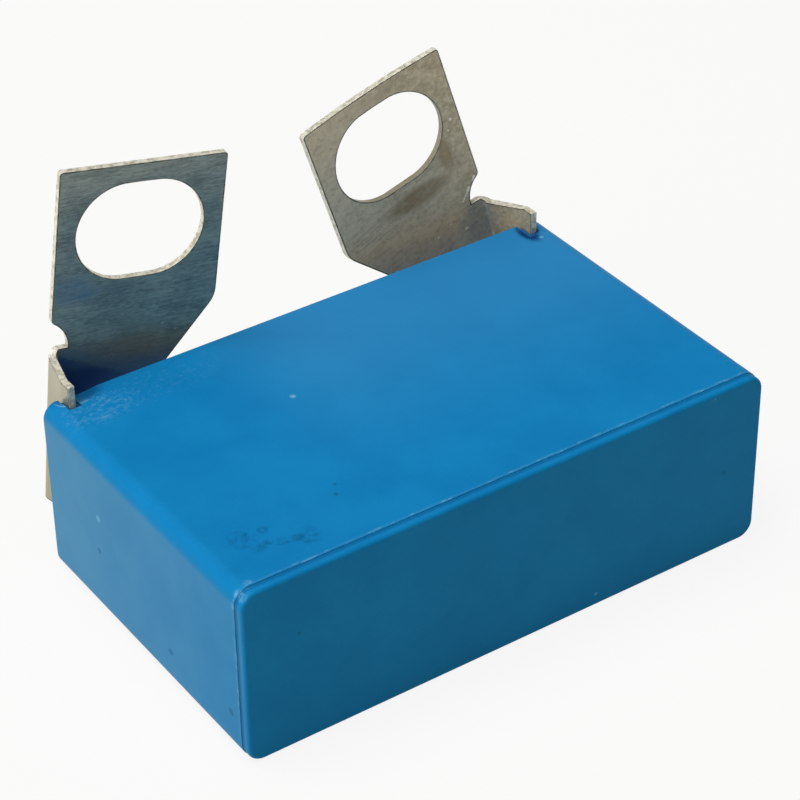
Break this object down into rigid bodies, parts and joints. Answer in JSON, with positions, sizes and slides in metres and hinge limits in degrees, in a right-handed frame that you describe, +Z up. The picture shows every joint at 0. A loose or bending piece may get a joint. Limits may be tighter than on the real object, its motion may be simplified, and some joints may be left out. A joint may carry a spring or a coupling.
{
  "type": "snubber capacitor",
  "caption": "Flat moulded box film capacitor with two bent, slotted screw lugs at its potted rear edge, for damping switching spikes across a power module.",
  "frame": {"origin": "centre of the broad bottom face that the case lies on", "axes": "+X along the case from the left terminal to the right one, +Y from the closed front face to the potted rear face, +Z up"},
  "size_m": [0.0414, 0.0294, 0.0289],
  "materials": {
    "case": "moulded blue plastic, satin, lightly scuffed",
    "potting_resin": "cast blue resin, glossy with a soft meniscus",
    "film_winding": "metallised film, silvery",
    "end_spray": "sprayed zinc, rough and dull",
    "solder": "solder, dull grey",
    "terminal": "tinned sheet metal, brushed, stained and scratched"
  },
  "bodies": {
    "root": {"case": "case", "potting_resin": "potting_resin", "film_winding": "film_winding", "end_spray_left": "end_spray", "end_spray_right": "end_spray", "solder_left": "solder", "solder_right": "solder", "terminal_left": "terminal", "terminal_right": "terminal"}
  },
  "joints": []
}
